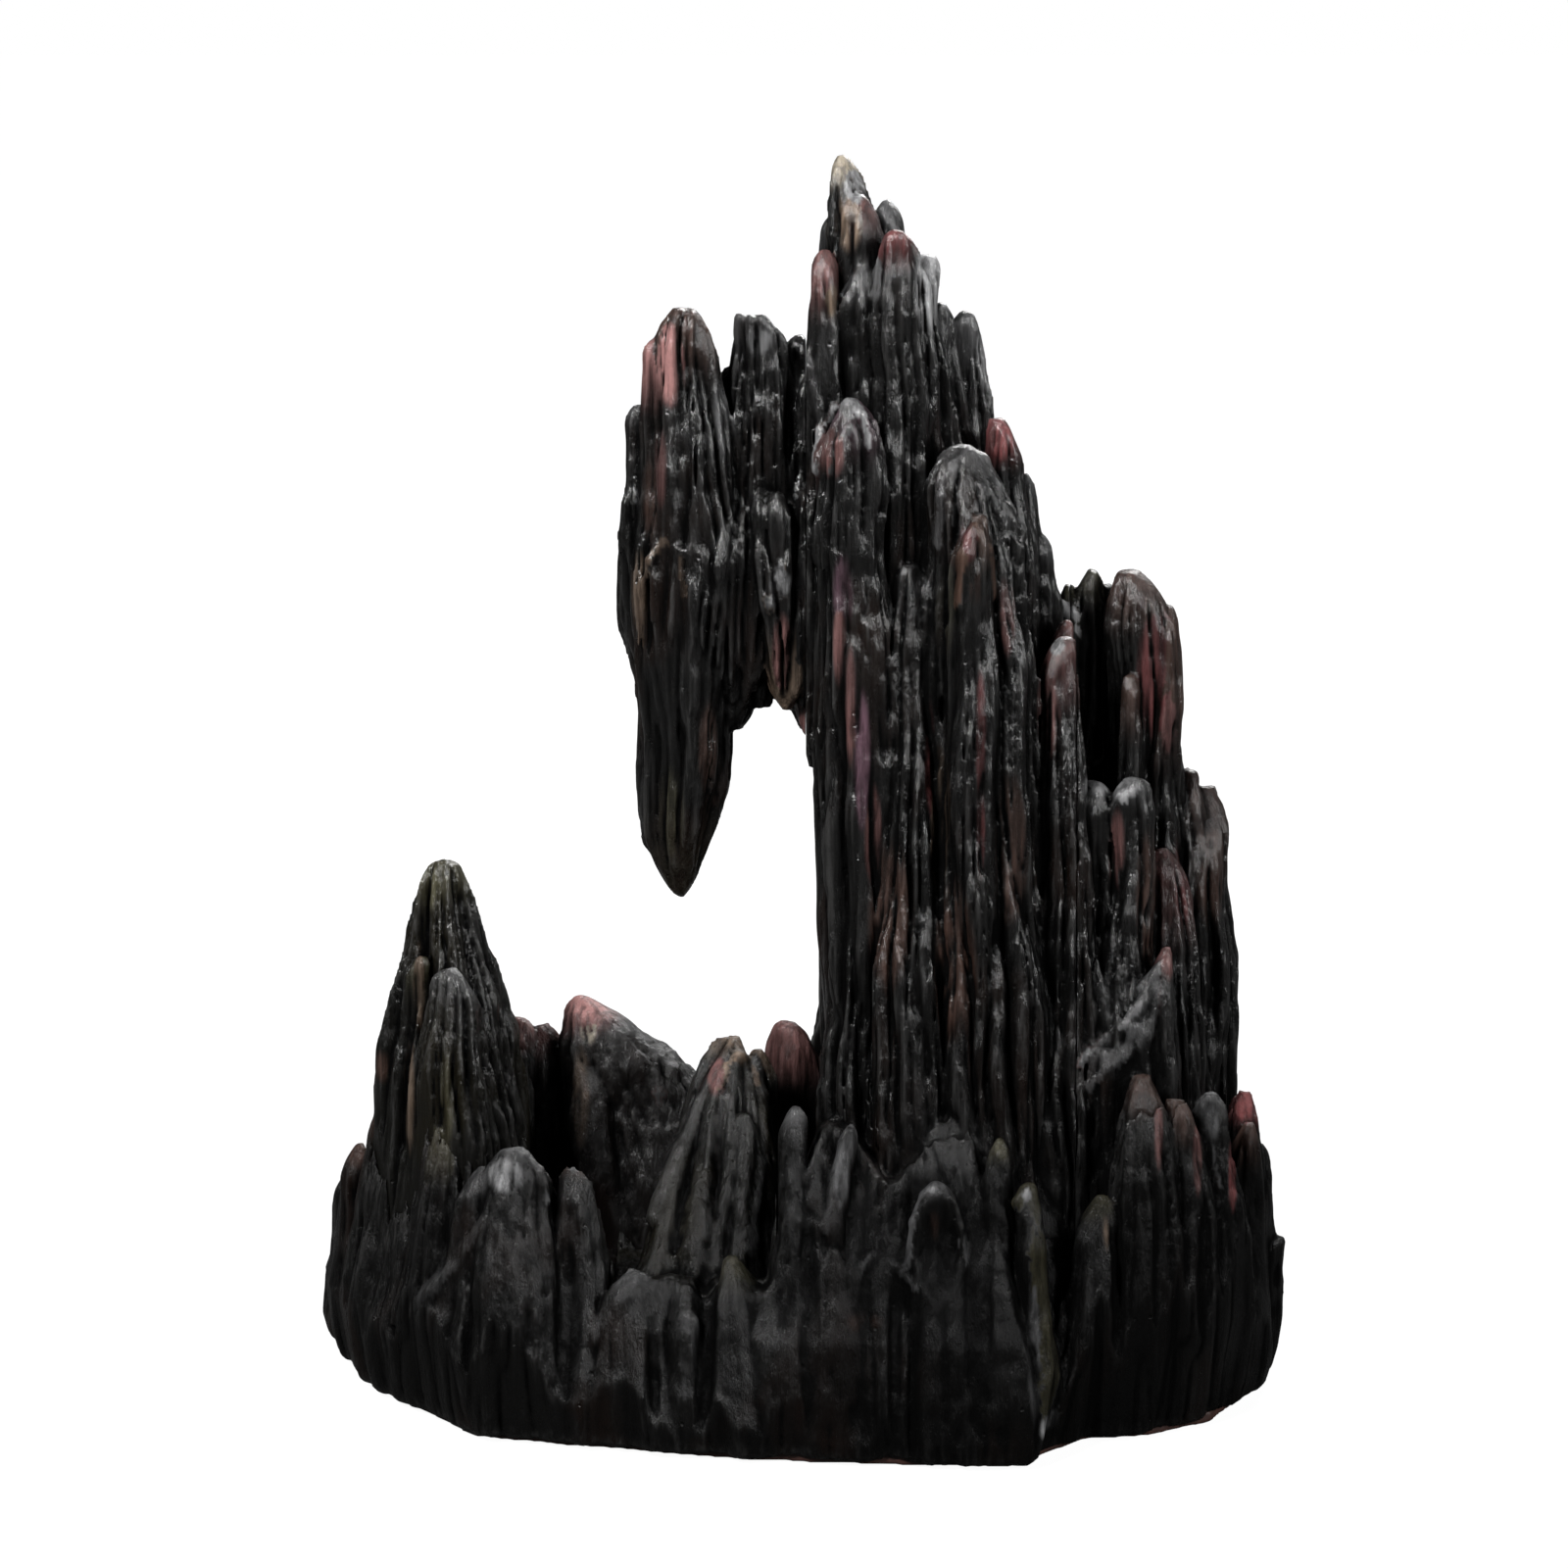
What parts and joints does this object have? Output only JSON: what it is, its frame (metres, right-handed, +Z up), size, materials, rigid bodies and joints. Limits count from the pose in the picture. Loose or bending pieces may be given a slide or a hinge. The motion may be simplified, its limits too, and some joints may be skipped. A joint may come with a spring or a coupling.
{
  "type": "aquarium cave ornament",
  "caption": "Jagged resin rock arch for an aquarium: a fluted main tower with a hanging stalactite overhang, side peaks and stones on a hollow base with a bottom plate.",
  "frame": {"origin": "centre of the flat underside of the base plate, on the ground", "axes": "+X to the viewer's right, +Y away from the viewing side, +Z up"},
  "size_m": [0.1816, 0.1082, 0.2246],
  "materials": {
    "resin_charcoal": "lacquered charcoal polyresin with red, pink and grey dry-brushing",
    "resin_olive": "lacquered charcoal polyresin with olive and tan dry-brushing",
    "resin_rose": "lacquered charcoal polyresin with a strong dusty pink dry-brush",
    "resin_plate": "unpainted reddish-brown cast resin",
    "dowel": "plain grey-white resin rod"
  },
  "bodies": {
    "root": {"base_casting": "resin_charcoal", "base_plate": "resin_plate", "main_tower": "resin_charcoal", "overhang_block": "resin_charcoal", "rear_slab": "resin_charcoal", "right_tower": "resin_charcoal", "left_peak": "resin_olive", "rear_wall": "resin_rose", "ridge_stone": "resin_olive", "egg_stone": "resin_rose", "tower_dowel_left": "dowel", "tower_dowel_right": "dowel", "rear_slab_dowel": "dowel", "rear_slab_dowel_upper": "dowel", "right_tower_dowel": "dowel", "left_peak_dowel": "dowel", "rear_wall_dowel": "dowel", "ridge_stone_dowel": "dowel", "overhang_dowel_lower": "dowel", "overhang_dowel_upper": "dowel"}
  },
  "joints": []
}
